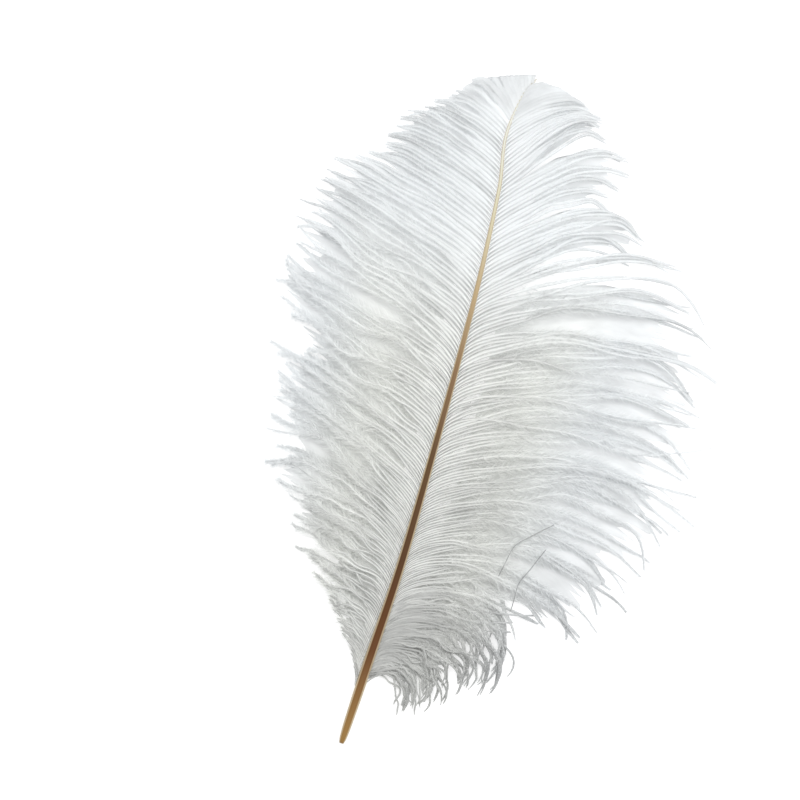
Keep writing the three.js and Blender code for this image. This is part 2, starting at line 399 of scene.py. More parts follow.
# A vane: its stations; -1 for left or 1 for right; its number of locks; how far its barbs gather to them;
# how loosely they lie; how much their tips turn by chance, in degrees; a factor for the barbs in a strand;
# how much shorter their barbules become outwards; and to which share of the barbs the veil reaches.
Vane = namedtuple("Vane", "stations side locks gather looseness turning strand_share thinning veil_to")
LEFT_VANE = Vane(LEFT_BARBS, -1, 30, (0, 0.15), 1.1, 14, 0.65, 0.35, 0.99)
RIGHT_VANE = Vane(RIGHT_BARBS, 1, 36, (0, 0.1), 1.2, 14, 0.7, 0.8, 0.95)

# How the barbs of a vane grow. For each barb: its root, the number of its strand, how far it is one of the
# tuft's, how neat it is, how far it is long enough to stray, and how loosely it lies.
Growth = namedtuple("Growth", "roots strand tuft neat free loose")

# Finished barbs: their middle lines, (barbs, points, 3); the place of each along the quill; how far it is
# one of the tuft's curling barbs; whether it is a bare thread; how much shorter its barbules become outwards.
Barbs = namedtuple("Barbs", "paths roots tuft bare thinning")

# One of them, with its tones.
Barb = namedtuple("Barb", "path root tuft bare thinning tones")


def smoothstep(low, high, x):
    t = np.clip((x - low) / (high - low), 0, 1)
    return t * t * (3 - 2 * t)


def blend(first, second, share):
    return first + (second - first) * share


def through(stations, column, at):
    """A smooth curve, with no overshoot, through a column of stations, at places of their first column."""
    x, y = stations[:, 0], stations[:, column]
    rise = np.diff(y) / np.diff(x)
    before, after = rise[:-1], rise[1:]
    turns = before * after <= 0
    inner = np.where(turns, 0, 2 * before * after / np.where(turns, 1, before + after))
    slope = np.concatenate([rise[:1], inner, rise[-1:]])
    inside = np.clip(at, x[0], x[-1])
    i = np.clip(np.searchsorted(x, inside, "right") - 1, 0, len(x) - 2)
    span = x[i + 1] - x[i]
    t = (inside - x[i]) / span
    u = 1 - t
    ends = y[i] * (1 + 2 * t) * u * u + y[i + 1] * (3 - 2 * t) * t * t
    return ends + span * (slope[i] * t * u * u - slope[i + 1] * u * t * t)


def scatter(lock, trait):
    """A fixed number from -1 to 1 for each lock and trait, with no pattern to be seen."""
    mixed = np.sin(lock * 12.9898 + trait * 78.233) * 43758.5453
    return 2 * (mixed - np.floor(mixed)) - 1


def quill_point(along):
    middle = through(QUILL, WIDTH, along) * QUILL_DEPTH * FLAT_SIDE / 2
    return np.stack([through(QUILL, ASIDE, along), along, through(QUILL, UNDERSIDE, along) + middle], -1)


def towards(side, degrees):
    turn = np.radians(degrees)
    return np.stack([side * np.sin(turn), np.cos(turn), np.zeros_like(turn)], -1)


def line_controls(barbs, side, roots, start_gap, shift, tip_height):
    """Four control points for each line from roots. shift is added to the tip's place and last direction."""
    start = quill_point(roots)
    start[:, 0] += side * (through(QUILL, WIDTH, roots) / 2 + start_gap)
    out = through(barbs, OUT, roots) + shift[0]
    along = through(barbs, ALONG, roots) + shift[1]
    tip = np.stack([side * out, along, tip_height], -1)
    leave = through(barbs, LEAVE, roots)
    arrive = through(barbs, ARRIVE, roots) + shift[2]
    reach = np.linalg.norm(tip - start, axis=1)[:, None]
    bend = np.radians(arrive - leave)[:, None]
    handle = reach * 2 / 3 * np.tan(bend / 4) / np.sin(bend / 2)  # as for an arc of a circle
    leaving = start + towards(side, leave) * handle
    leaving[:, 2:] += CROWN * reach
    arriving = tip - towards(side, arrive) * handle
    arriving[:, 2:] = (start[:, 2:] + tip[:, 2:]) / 2 + CROWN * reach
    return np.stack([start, leaving, arriving, tip], 1)


def bezier(controls, t):
    """Points of cubic lines: controls is (lines, 4, 3) and t is (lines, points)."""
    u = 1 - t
    weights = np.stack([u**3, 3 * u * u * t, 3 * u * t * t, t**3], -1)
    return np.einsum("lpk,lkc->lpc", weights, controls)


def lock_lines(vane):
    """A vane's locks: roots, closer together where their tips fan out, control points and tip heights."""
    stations, side = vane.stations, vane.side
    steps = np.diff(stations[:, :3], axis=0)
    run = np.concatenate([[0], np.cumsum(steps[:, 0] + np.hypot(steps[:, 1], steps[:, 2]))])
    number = np.arange(vane.locks)
    roots = through(np.stack([run, stations[:, 0]], -1), 1, (number + 0.5) / vane.locks * run[-1])
    shift = (
        TIP_SCATTER * scatter(number, side * OUT_TRAIT),
        TIP_SCATTER * scatter(number, side * ALONG_TRAIT),
        ARRIVE_SCATTER * scatter(number, side * ARRIVE_TRAIT),
    )
    height = TIP_THICKNESS / 2 + HIGHEST_TIP * np.maximum(0, scatter(number, side * HEIGHT_TRAIT))
    return roots, line_controls(stations, side, roots, LOCK_GAP, shift, height), height


def directions(paths):
    """Unit tangents, level sideways directions and upward directions along paths of points."""
    tangent = np.gradient(paths, axis=-2)
    tangent /= np.linalg.norm(tangent, axis=-1, keepdims=True)
    aside = np.cross(tangent, (0, 0, 1))
    aside /= np.maximum(np.linalg.norm(aside, axis=-1, keepdims=True), 1e-6)
    return tangent, aside, np.cross(aside, tangent)


def from_roots(paths):
    return np.linalg.norm(paths - paths[:, :1], axis=-1)


def path_length(path):
    return np.linalg.norm(np.diff(path, axis=0), axis=1).sum()


def neatness(along):
    return smoothstep(*NEAT_SPAN, along)


def webbing(paths):
    return smoothstep(*WEB, paths[:, :1, 1])


def tip_rate(stations, roots):
    """How fast the tips move from barb to barb, over how fast the roots do."""
    tips = np.stack([through(stations, OUT, roots), through(stations, ALONG, roots)], -1)
    return np.linalg.norm(np.gradient(tips, roots, axis=0), axis=1)


def wander(count, t, waves):
    """Smooth drift along each of count lines, a few waves from end to end."""
    drift = np.zeros((count, t.shape[-1]))
    for number in np.linspace(waves.fewest, waves.most, WAVES_MIXED):
        phase = rng.uniform(0, 2 * np.pi, (count, 1))
        size = rng.normal(0, waves.size / math.sqrt(number), (count, 1))
        drift += size * np.sin(2 * np.pi * number * t + phase)
    return drift


def barb_roots(vane):
    """Where a vane's barbs are rooted: closer together at the base, in the tuft, and where tips fan out."""
    stations = vane.stations
    grid = np.linspace(stations[0, 0], stations[-1, 0], ROOT_GRID)
    crowding = np.maximum(1, tip_rate(stations, grid) / FAN_RATE) ** (FAN_POWER * (1 - neatness(grid)))
    if vane.side > 0:
        crowding = np.where(grid < TUFT_END, TUFT_CROWDING, crowding)
    run = np.cumsum(crowding / np.interp(grid, *BARB_SPACING.T)) * (grid[1] - grid[0])
    count = int(run[-1])
    even = np.arange(count) + 0.5 + rng.uniform(-ROOT_JITTER, ROOT_JITTER, count)
    return np.interp(even * run[-1] / count, run, grid)


def strand_numbers(roots, strand_share):
    """One number for all the barbs of a strand, which are neighbours or nearly so."""
    barbs = np.maximum(1, np.interp(roots, *STRAND_BARBS.T) * strand_share)
    place = np.cumsum(1 / barbs) + rng.uniform(-STRAND_MIXING, STRAND_MIXING, len(roots))
    return np.unique(np.floor(place), return_inverse=True)[1]


def tuft_share(side, roots):
    if side > 0:
        return 1 - smoothstep(*TUFT_SPAN, roots)
    return LEFT_TUFT * (1 - smoothstep(*LEFT_TUFT_SPAN, roots))


def grow(vane):
    roots = barb_roots(vane)
    strand = strand_numbers(roots, vane.strand_share)
    neat = neatness(roots)
    free = smoothstep(0, LONG_BARB, through(vane.stations, OUT, roots))
    loose = vane.looseness * (1 - NEAT_LOOSE * neat) * free
    return Growth(roots, strand, tuft_share(vane.side, roots), neat, free, loose)


def strand_chance(growth, spread):
    """A number by chance for each barb, the same for all of a strand but for how loosely they lie."""
    return rng.normal(0, spread, growth.strand.max() + 1)[growth.strand] * growth.loose


def choose_locks(growth, lock_roots):
    """The number of the lock that each barb goes with."""
    middles = np.bincount(growth.strand, growth.roots) / np.bincount(growth.strand)
    roots = middles[growth.strand] + strand_chance(growth, LOCK_CHANCE)
    return np.abs(roots - lock_roots[:, None]).argmin(0)


def fold_extra(side, roots):
    """How far past their tips the barbs of the left vane reach, to be turned under."""
    return FOLD_EXTRA * smoothstep(*FOLD_ROOTS, roots) * (side < 0)


def barb_controls(vane, growth, lock_heights):
    """Control points of the barbs' own lines, each strand's a little off their stations."""
    shift = (
        strand_chance(growth, OUT_CHANCE),
        strand_chance(growth, ALONG_CHANCE) + fold_extra(vane.side, growth.roots),
        strand_chance(growth, vane.turning) + TUFT_CURL * growth.tuft * (vane.side > 0),
    )
    height = np.maximum(LOWEST_TIP, lock_heights + strand_chance(growth, HEIGHT_CHANCE))
    return line_controls(vane.stations, vane.side, growth.roots, BARB_GAP, shift, height)


def barb_ends(vane, growth):
    """Where each barb ends along its line."""
    strand = growth.strand
    strands = strand.max() + 1
    shorter = STRAND_LOSS * rng.beta(1, 3, strands)[strand] * (1 - NEAT_LOSS * growth.neat) * growth.free
    ends = LONGEST - shorter - rng.uniform(0, BARB_LOSS, len(strand))
    return ends - TUFT_LOSS * rng.beta(1, 2, strands)[strand] * growth.tuft * (vane.side > 0)


def barb_drift(vane, growth, lock, whole, t):
    """How far aside and up barbs stray from their lines: with their lock, with their strand and alone."""
    strands = growth.strand.max() + 1
    loose = growth.loose[:, None]
    shared = wander(vane.locks, whole, LOCK_DRIFT)[lock] * smoothstep(*LOCK_SPAN, t)
    shared *= ((1 - NEAT_DRIFT * growth.neat) * growth.free)[:, None]
    in_strand = wander(strands, whole, STRAND_DRIFT)[growth.strand] * loose * smoothstep(*STRAND_SPAN, t)
    single = wander(len(lock), whole, BARB_DRIFT) * loose * smoothstep(*BARB_SPAN, t)
    droop = rng.uniform(0, TIP_DROOP, strands)[growth.strand]
    droop = droop * blend(LOOSE_DROOP, 1, growth.neat) * growth.free
    sideways = shared + in_strand + single + vane.side * droop[:, None] * smoothstep(*DROOP_SPAN, whole)
    lift = strand_chance(growth, LIFT_CHANCE)[:, None] * smoothstep(*LIFT_SPAN, t)
    return sideways, lift


def cling(paths, side, growth, t):
    """Draws the outer parts of each strand's barbs side by side."""
    strand = growth.strand
    members = np.equal.outer(np.arange(strand.max() + 1), strand)
    share = members / members.sum(1, keepdims=True)
    middle = np.einsum("sb,bpc->spc", share, paths)[strand]
    number = np.arange(len(paths))
    rank = number - (share @ number)[strand]
    step = blend(STRAND_STEP, NEAT_STEP, growth.neat)
    _, aside, _ = directions(middle)
    beside = middle - side * aside * (rank * step)[:, None, None]
    strength = growth.free * (1 - TUFT_FREEDOM * growth.tuft)
    pull = strength[:, None] * smoothstep(*CLING_SPAN, t)
    return paths + pull[..., None] * (beside - paths)


def hook_roots(paths):
    """Bends the first few millimetres of each barb back down the quill, which it leaves at a steep angle."""
    root = paths[:, :1, 1]
    back = ROOT_HOOK * (1 - NEAT_HOOK * neatness(root)) * np.exp(-from_roots(paths) / HOOK_REACH)
    place = root - back
    return paths + quill_point(place) - quill_point(np.broadcast_to(root, place.shape))


def fold_tip(points):
    """Turns under, in place, what lies beyond the fold at the tip."""
    line = FOLD[1] - FOLD[0]
    length = np.linalg.norm(line)
    line = line / length
    normal = np.array((-line[1], line[0]))
    offset = points[..., :2] - FOLD[0]
    place = offset @ line
    on_fold = smoothstep(-FOLD_ENDS[0], 0, place) * (1 - smoothstep(length, length + FOLD_ENDS[1], place))
    beyond = np.maximum(0, offset @ normal) * on_fold
    points[..., :2] -= normal * beyond[..., None]
    points[..., 2] -= beyond * FOLD_DROP
    return points


def vane_barbs(vane):
    """The barbs of a vane, drawn together into strands and these into its locks."""
    lock_roots, lock_controls, lock_heights = lock_lines(vane)
    growth = grow(vane)
    lock = choose_locks(growth, lock_roots)
    controls = barb_controls(vane, growth, lock_heights[lock])
    whole = np.linspace(0, 1, BARB_POINTS)[None] ** POINT_POWER
    t = whole * barb_ends(vane, growth)[:, None]
    own = bezier(controls, t)
    lead = bezier(lock_controls[lock], t)
    gather = rng.uniform(*vane.gather, vane.locks)[lock] * (1 - NEAT_GATHER * growth.neat)
    paths = own + (gather[:, None] * smoothstep(*GATHER_SPAN, t))[..., None] * (lead - own)
    _, aside, up = directions(paths)
    sideways, lift = barb_drift(vane, growth, lock, whole, t)
    paths = paths + aside * sideways[..., None] + up * lift[..., None]
    paths = fold_tip(hook_roots(cling(paths, vane.side, growth, t)))
    paths[..., 2] = np.maximum(paths[..., 2], LOWEST_BARB)
    count = len(paths)
    return Barbs(paths, growth.roots, growth.tuft, np.zeros(count), np.full(count, vane.thinning))


def smooth_path(points):
    points = np.array(points, float)
    run = np.concatenate([[0], np.cumsum(np.linalg.norm(np.diff(points, axis=0), axis=1))])
    stations = np.column_stack([run, points])
    at = np.linspace(0, run[-1], BARB_POINTS)
    return np.stack([through(stations, column, at) for column in (1, 2, 3)], -1)


def odd_barbs():
    """The stray barbs and the crimped wisps of the right vane."""
    strays = np.array([smooth_path(points) for points in STRAY_BARBS])
    wisps = np.array([smooth_path(points) for points in WISPS])
    _, aside, _ = directions(wisps)
    t = np.linspace(0, 1, BARB_POINTS)[None]
    wisps += aside * (wander(len(wisps), t, CRIMP) * smoothstep(*CRIMP_SPAN, t))[..., None]
    paths = np.concatenate([strays, wisps])
    bare = np.where(np.arange(len(paths)) < BARE_STRAYS, 1.0, 0.0)
    return Barbs(paths, paths[:, 0, 1], np.ones(len(paths)), bare, np.ones(len(paths)))


def barb_tones(barbs):
    """How light each barb is along its length: darker towards the base of the plume, with painted shade in
    the tuft, a little by chance.
    """
    along = barbs.paths[..., 1]
    chance = rng.normal(0, TONE_CHANCE, len(along))[:, None] * (1 - WEB_EVENNESS * webbing(barbs.paths))
    return BASE_TONE + TONE_RISE * smoothstep(*TONE_SPAN, along) - TUFT_PAINTED_SHADE * barbs.tuft[:, None] + chance


def strip_widths(barbs):
    share = np.linspace(0, 1, BARB_POINTS)
    neat = neatness(barbs.paths[..., 1])
    tuft = barbs.tuft[:, None]
    from_root = from_roots(barbs.paths)
    inner = blend(LOOSE_SHARE, NEAT_SHARE, neat)
    inner = blend(inner, ROOT_SHARE, 1 - smoothstep(*ROOT_SPAN, from_root))
    inner = inner * np.interp(barbs.roots, *BARB_SPACING.T)[:, None]
    inner = blend(inner, TUFT_WIDTH, tuft)
    inner = blend(inner, WEB_WIDTH, webbing(barbs.paths))
    outer = smoothstep(*STRAND_WIDTH_SPAN, share) * (1 - NEAT_STRAND * neat) * (1 - tuft)
    strand = np.interp(barbs.roots, *STRAND_WIDTH.T)[:, None]
    width = blend(blend(inner, strand, outer), THREAD_WIDTH, barbs.bare[:, None])
    start = blend(START_WIDTH, 1, smoothstep(*START_SPAN, from_root))
    return width * start * (1 - TIP_NARROWING * smoothstep(*NARROWING_SPAN, share))


def painted_ridge_and_edge_light(barbs):
    """Painted highlight on each barb's ridge and painted shade on its edges along its length, as shares of
    its tone.
    """
    share = np.linspace(0, 1, BARB_POINTS)
    from_root = from_roots(barbs.paths)
    neat = neatness(barbs.paths[..., 1])
    web = webbing(barbs.paths)
    tuft = barbs.tuft[:, None]
    fade = smoothstep(*FADE_SPAN, from_root) * (1 - neat)
    firm = np.maximum(neat, 1 - smoothstep(*FIRM_END, barbs.roots)[:, None])
    ridge = PAINTED_RIDGE_LIGHT - THREAD_SHADE * barbs.bare[:, None] - RIDGE_FADE * fade - TUFT_CONTRAST * tuft
    # Painted shade outwards, on the ridge here and on the edges below.
    ridge = ridge - (LOOSE_SHADE + FIRM_RIDGE_SHADE * firm) * smoothstep(*RIDGE_SHADE_SPAN, share)
    reach = np.minimum(ROOT_SHADE_REACH, ROOT_SHADE_SHARE * from_root[:, -1:])
    edge = PAINTED_EDGE_SHADE + NEAT_EDGE * neat + TUFT_CONTRAST * tuft + EDGE_FADE * fade
    # Painted shade on the edges by the quill.
    edge = edge - PAINTED_ROOT_SHADE * (1 - NEAT_ROOT_SHADE * neat) * np.exp(-from_root / reach)
    edge = edge - (LOOSE_SHADE + FIRM_EDGE_SHADE * firm) * smoothstep(*EDGE_SHADE_SPAN, share)
    return blend(ridge, WEB_RIDGE, web), blend(edge, WEB_EDGE, web)


def strip_tones_with_painted_light(barbs, tones):
    """Lightness at each point along and across each barb: a thin painted highlight on the ridge that widens
    outwards, with painted shade at the edges.
    """
    ridge, edge = painted_ridge_and_edge_light(barbs)
    rise = SHOULDER + SHOULDER_RISE * smoothstep(*SHOULDER_SPAN, from_roots(barbs.paths))
    shoulder = blend(edge, ridge, rise)
    across = np.broadcast_arrays(edge, shoulder, ridge, shoulder, edge)
    return tones[..., None] * np.stack(across, -1)


def grid_faces(rows, columns):
    """Corners of the faces of a grid of points, (rows - 1, columns - 1, 4)."""
    corner = np.arange(rows - 1)[:, None] * columns + np.arange(columns - 1)
    return np.stack([corner, corner + 1, corner + columns + 1, corner + columns], -1)


def strip_rings(barbs):
    """Points across each barb at each of its points, (barbs, points, points across, 3)."""
    paths = barbs.paths
    _, aside, up = directions(paths)
    share = np.linspace(0, 1, BARB_POINTS)[None]
    twist = wander(len(paths), share, STRIP_TWIST) * (1 - NEAT_TWIST * neatness(paths[..., 1]))
    twist = twist[..., None]
    half = strip_widths(barbs)[..., None] / 2
    arch = (1 - WEB_FLATNESS * webbing(paths))[..., None]
    across = (aside * np.cos(twist) + up * np.sin(twist)) * half
    down = (aside * np.sin(twist) - up * np.cos(twist)) * half * arch
    rings = paths[:, :, None] + across[:, :, None] * STRIP[:, :1] + down[:, :, None] * STRIP[:, 1:]
    rings = fold_tip(rings)
    rings[..., 2] = np.maximum(rings[..., 2], LOWEST_STRIP)
    return rings


def strip_mesh(barbs, tones):
    """Arched strips along the barbs: vertices, faces, and a tone and a place for each vertex."""
    rings = strip_rings(barbs)
    count, points, sides, _ = rings.shape
    shifts = np.arange(count)[:, None, None] * points * sides
    faces = grid_faces(points, sides).reshape(-1, 4) + shifts
    place = (barbs.roots[:, None, None], from_roots(barbs.paths)[..., None], np.zeros(sides))
    places = np.stack(np.broadcast_arrays(*place), -1)
    tone = strip_tones_with_painted_light(barbs, tones)
    return rings.reshape(-1, 3), faces.reshape(-1, 4), tone.ravel(), places.reshape(-1, 3)


def along_path(path, values, places):
    """Values given at a path's points, read at distances along it."""
    lengths = np.concatenate([[0], np.cumsum(np.linalg.norm(np.diff(path, axis=0), axis=1))])
    return np.stack([np.interp(places, lengths, column) for column in values.T], -1)


def barbule_lengths(barb, kind, place, along, total):
    young = blend(FIRST_BARBULE, 1, smoothstep(*BARBULE_GROWTH, place))
    growth = young * (1 - NEAT_BARBULE * neatness(along)) * (1 - TUFT_BARBULE * barb.tuft)
    thin = 1 - barb.thinning * smoothstep(*THIN_SPAN, place / total)
    return (kind.length * growth * thin * rng.uniform(*BARBULE_CHANCE, len(place)))[:, None]


def ribbons(kind, at, axes, side, length, hang):
    """Flat tapered ribbons that turn forward: two corners at the root, two at the bend and one at the tip."""
    tangent, aside, up = axes
    count = len(at)
    open_angle = np.radians(rng.normal(kind.open, OPEN_CHANCE, count))[:, None]
    close_angle = np.radians(rng.normal(kind.close, CLOSE_CHANCE, count))[:, None]
    sag = (rng.normal(-kind.sag, SAG_CHANCE, count) - hang)[:, None]
    first = tangent * np.cos(open_angle) + aside * side * np.sin(open_angle) + up * sag
    second = tangent * np.cos(close_angle) + aside * side * np.sin(close_angle) + up * sag * TIP_SAG
    bend = at + first * length * BEND_PLACE
    tip = bend + second * length * (1 - BEND_PLACE)
    roll = np.radians(rng.normal(0, ROLL_CHANCE, count))[:, None]
    level = aside * np.cos(open_angle) - tangent * side * np.sin(open_angle)
    half = (level * np.cos(roll) + up * np.sin(roll)) * kind.width / 2
    narrow = half * BEND_WIDTH
    return np.stack([at - half, at + half, bend - narrow, bend + narrow, tip], 1)


def barbules(barb, kind):
    """Soft barbules on both sides of a barb: ribbons, and a tone and a place for each of them."""
    path = barb.path
    total = path_length(path)
    count = int(2 * total / kind.spacing)
    place = rng.uniform(min(BARE_ROOT, total * BARE_ROOT_SHARE), total, count)
    at = along_path(path, path, place)
    axes = [along_path(path, direction, place) for direction in directions(path)]
    side = rng.choice((-1.0, 1.0), count)[:, None]
    length = barbule_lengths(barb, kind, place, at[:, 1], total)
    hang = ROOT_HANG * (1 - smoothstep(*HANG_SPAN, place))
    points = fold_tip(ribbons(kind, at, axes, side, length, hang))
    points[..., 2] = np.maximum(points[..., 2], LOWEST_BARBULE)
    # Barbules by the quill are painted darker, as shade under the barbs.
    outwards = SHADED_INNER_BARBULE + BARBULE_RISE * smoothstep(*BARBULE_TONE_SPAN, place / total)
    tone = along_path(path, barb.tones[:, None], place)[:, 0] * outwards
    tone = tone * rng.normal(1, BARBULE_TONE_CHANCE, count)
    places = np.column_stack([np.full(count, barb.root), place, np.zeros(count)])
    return points, tone, places


def barbule_mesh(barbs, tones):
    sets = []
    for values in zip(*barbs, tones):
        for kind in (CLOSE_BARBULES, DOWNY_BARBULES):
            sets.append(barbules(Barb(*values), kind))
    return (np.concatenate(values) for values in zip(*sets))


def veil_ends(vane, roots, rate):
    """The share of the barbs where the veil ends, with its fringe."""
    open_part = 1 - smoothstep(*WEB, roots)
    parted = smoothstep(*VEIL_PARTING, rate)
    fringe = rng.uniform(0, VEIL_FRINGE, len(roots))
    ends = vane.veil_to - VEIL_RETREAT * parted * open_part - fringe * open_part
    under_tuft = 1 - smoothstep(*VEIL_TUFT_SPAN, roots)
    return ends + (1 - vane.veil_to) * (1 - open_part) - VEIL_TUFT_GAP * under_tuft


def veil_mesh(vane):
    """The veil of fine down under a vane: vertices, faces, and a tone and a place for each vertex."""
    roots = np.arange(*VEIL_ROOTS, VEIL_SPACING)
    level = np.zeros(len(roots))
    shift = (level, fold_extra(vane.side, roots), level)
    controls = line_controls(vane.stations, vane.side, roots, 0, shift, level + TIP_THICKNESS)
    rate = tip_rate(vane.stations, roots)
    ends = veil_ends(vane, roots, rate)
    t = VEIL_FROM + np.linspace(0, 1, VEIL_ROWS) * (ends[:, None] - VEIL_FROM)
    vertices = fold_tip(bezier(controls, t))
    vertices[..., 2] = np.maximum(LOWEST_VEIL, vertices[..., 2] * VEIL_DROP)
    whole = np.maximum(rate[:-1], rate[1:]) < VEIL_SPLIT
    used, faces = np.unique(grid_faces(len(roots), VEIL_ROWS)[whole], return_inverse=True)
    tones = blend(*VEIL_TONES, smoothstep(*VEIL_TONE_SPAN, t))
    tones = tones - VEIL_BASE_SHADE * (1 - smoothstep(*VEIL_BASE_SPAN, roots))[:, None]
    from_root = np.linalg.norm(vertices - controls[:, :1], axis=-1)
    places = np.stack(np.broadcast_arrays(roots[:, None], from_root, 0.0), -1)
    points = vertices.reshape(-1, 3)[used]
    return points, faces.reshape(-1, 4), tones.ravel()[used], places.reshape(-1, 3)[used]


def row_place():
    """Where the quill's end is in the row frame, in millimetres."""
    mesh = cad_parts["quill"].data
    points = np.empty(len(mesh.vertices) * 3, np.float32)
    mesh.vertices.foreach_get("co", points)
    points = points.reshape(-1, 3) * METRE
    end = points[points[:, 1] < points[:, 1].min() + END_REACH]
    return np.append((end[:, :2].min(0) + end[:, :2].max(0)) / 2, 0)


PLACE = row_place()


def mesh_piece(name, vertices, face_sets, material):
    """A mesh object in the row frame, in metres. face_sets are arrays of corners with one face a row."""
    mesh = bpy.data.meshes.new(name)
    corners = np.concatenate([faces.ravel() for faces in face_sets]).astype(np.int32)
    sizes = np.concatenate([np.full(len(faces), faces.shape[1]) for faces in face_sets])
    starts = np.concatenate([[0], np.cumsum(sizes)[:-1]]).astype(np.int32)
    mesh.vertices.add(len(vertices))
    mesh.vertices.foreach_set("co", ((vertices + PLACE) / METRE).astype(np.float32).ravel())
    mesh.loops.add(len(corners))
    mesh.loops.foreach_set("vertex_index", corners)
    mesh.polygons.add(len(sizes))
    mesh.polygons.foreach_set("loop_start", starts)
    mesh.update(calc_edges=True)
    mesh.validate()
    mesh.shade_smooth()
    mesh.materials.append(material)
    piece = bpy.data.objects.new(name, mesh)
    bpy.context.scene.collection.objects.link(piece)
    return piece


def paint(piece, name, values):
    """Gives each vertex a number or a vector that the material reads."""
    is_vector = values.ndim == 2
    attribute = piece.data.attributes.new(name, "FLOAT_VECTOR" if is_vector else "FLOAT", "POINT")
    attribute.data.foreach_set("vector" if is_vector else "value", values.astype(np.float32).ravel())


def paint_plume(piece, vertices, tones, places):
    """Tone with its painted highlights and shade, coolness, and painted light streaks: warm white by the
    quill, cooler at the outside and towards the tip.
    """
    from_quill = np.abs(vertices[:, 0] - through(QUILL, ASIDE, vertices[:, 1]))
    paint(piece, "tone", tones)
    paint(piece, "coolness", np.maximum(smoothstep(*COOL_SPAN, from_quill), neatness(vertices[:, 1])))
    paint(piece, "light_streak_place", places / LIGHT_STREAK_SIZE)


def vane_piece(name, barbs, material):
    tones = barb_tones(barbs)
    strip_points, strip_faces, strip_tone, strip_places = strip_mesh(barbs, tones)
    ribbon_points, ribbon_tone, ribbon_places = barbule_mesh(barbs, tones)
    first = len(strip_points) + np.arange(len(ribbon_points))[:, None] * RIBBON_POINTS
    quads = first + np.array([0, 1, 3, 2])
    tips = first + np.array([2, 3, 4])
    vertices = np.concatenate([strip_points, ribbon_points.reshape(-1, 3)])
    piece = mesh_piece(name, vertices, [strip_faces, quads, tips], material)
    tone = np.concatenate([strip_tone, np.repeat(ribbon_tone, RIBBON_POINTS)])
    places = np.concatenate([strip_places, np.repeat(ribbon_places, RIBBON_POINTS, axis=0)])
    paint_plume(piece, vertices, BARB_LIGHTNESS * tone, places)
    return piece


def veil_piece(name, vane, material):
    vertices, faces, tones, places = veil_mesh(vane)
    piece = mesh_piece(name, vertices, [faces], material)
    paint_plume(piece, vertices, tones, places)
    return piece


def quill_piece(material):
    along = np.append(np.arange(0, QUILL[-1, 0], QUILL_STEP), QUILL[-1, 0])
    middle = quill_point(along)
    across = np.cross(np.gradient(middle, axis=0), (0, 0, 1))
    across /= np.linalg.norm(across, axis=1, keepdims=True)
    half = through(QUILL, WIDTH, along)[:, None, None] / 2
    turn = np.arange(QUILL_SIDES) * 2 * np.pi / QUILL_SIDES
    level = across[:, None] * np.cos(turn)[None, :, None]
    rise = np.array((0, 0, QUILL_DEPTH)) * np.sin(turn)[:, None]
    rings = middle[:, None] + half * (level + rise)
    rings[..., 2] = np.maximum(rings[..., 2], 0.0)
    last = len(along) - 1
    ring, side = np.meshgrid(np.arange(last), np.arange(QUILL_SIDES), indexing="ij")
    a = ring * QUILL_SIDES + side
    b = ring * QUILL_SIDES + (side + 1) % QUILL_SIDES
    quads = np.stack([a, a + QUILL_SIDES, b + QUILL_SIDES, b], -1).reshape(-1, 4)
    around = np.arange(QUILL_SIDES)
    caps = np.stack([around, last * QUILL_SIDES + around[::-1]])
    piece = mesh_piece("quill_visual", rings.reshape(-1, 3), [quads, caps], material)
    paint(piece, "rim", np.tile(np.abs(np.cos(turn)), len(along)))
    return piece


# Colours: the plume's whites by tone and by coolness, the quill along its length and at its rims, and the
# floor.
WHITES = [
    (0.32, (0.2, 0.2, 0.2)),
    (0.65, (0.6, 0.6, 0.6)),
    (0.92, (0.92, 0.92, 0.92)),
]
TINTS = [(0.0, (0.99, 1.0, 0.975)), (1.0, (0.965, 0.985, 0.995))]
# The horn's brown along the quill; its darkest stops in the lower part also hold painted shade.
HORN = [
    (0.0, (0.3, 0.17, 0.05)),
    (0.14, (0.12, 0.045, 0.012)),
    (0.28, (0.085, 0.037, 0.012)),
    (0.44, (0.105, 0.055, 0.02)),
    (0.56, (0.21, 0.125, 0.06)),
    (0.68, (0.42, 0.31, 0.17)),
    (0.80, (0.58, 0.54, 0.38)),
    (0.90, (0.64, 0.64, 0.56)),
    (1.0, (0.7, 0.7, 0.65)),
]
HORN_RIM = (0.5, 0.4, 0.26, 1)
RIM_SPAN = (0.55, 0.8)
FLOOR_GREY = (0.6, 0.6, 0.6, 1)
WHITE = (1, 1, 1, 1)

# Finishes.
PLUME_ROUGHNESS = 0.55
PLUME_TRANSLUCENCY = 0.35
HORN_ROUGHNESS = 0.5
HORN_GLOSS = 0.25
FLOOR_ROUGHNESS = 0.9
FLOOR_GLOW = 0.56

# Sockets of a node that mixes two colours.
MIX_SHARE, MIX_FIRST, MIX_SECOND = 0, 6, 7
MIX_RESULT = 2

# The stage, in metres.
FLOOR_HALF = 4.0
FLOOR_GAP = 0.0002  # below the plume
ROOM_LIGHT = 0.5
LAMP_SIZE = 0.7

# The camera, straight above: the width of the picture at the plume and its middle from the quill's end, in
# millimetres; how far the plume leans to the right in it, in degrees; and heights in metres.
PICTURE_WIDTH = 228.6
PICTURE_MIDDLE = (-11.7, 99.6)
LEAN = 16.4
CAMERA_HEIGHT = 0.9
PLUME_HEIGHT = 0.008
SENSOR_WIDTH = 36
CAMERA_REACH = 20


def new_material(name):
    material = bpy.data.materials.new(name)
    material.use_nodes = True
    nodes = material.node_tree.nodes
    nodes.clear()
    output = nodes.new("ShaderNodeOutputMaterial")
    return material, nodes, material.node_tree.links, output


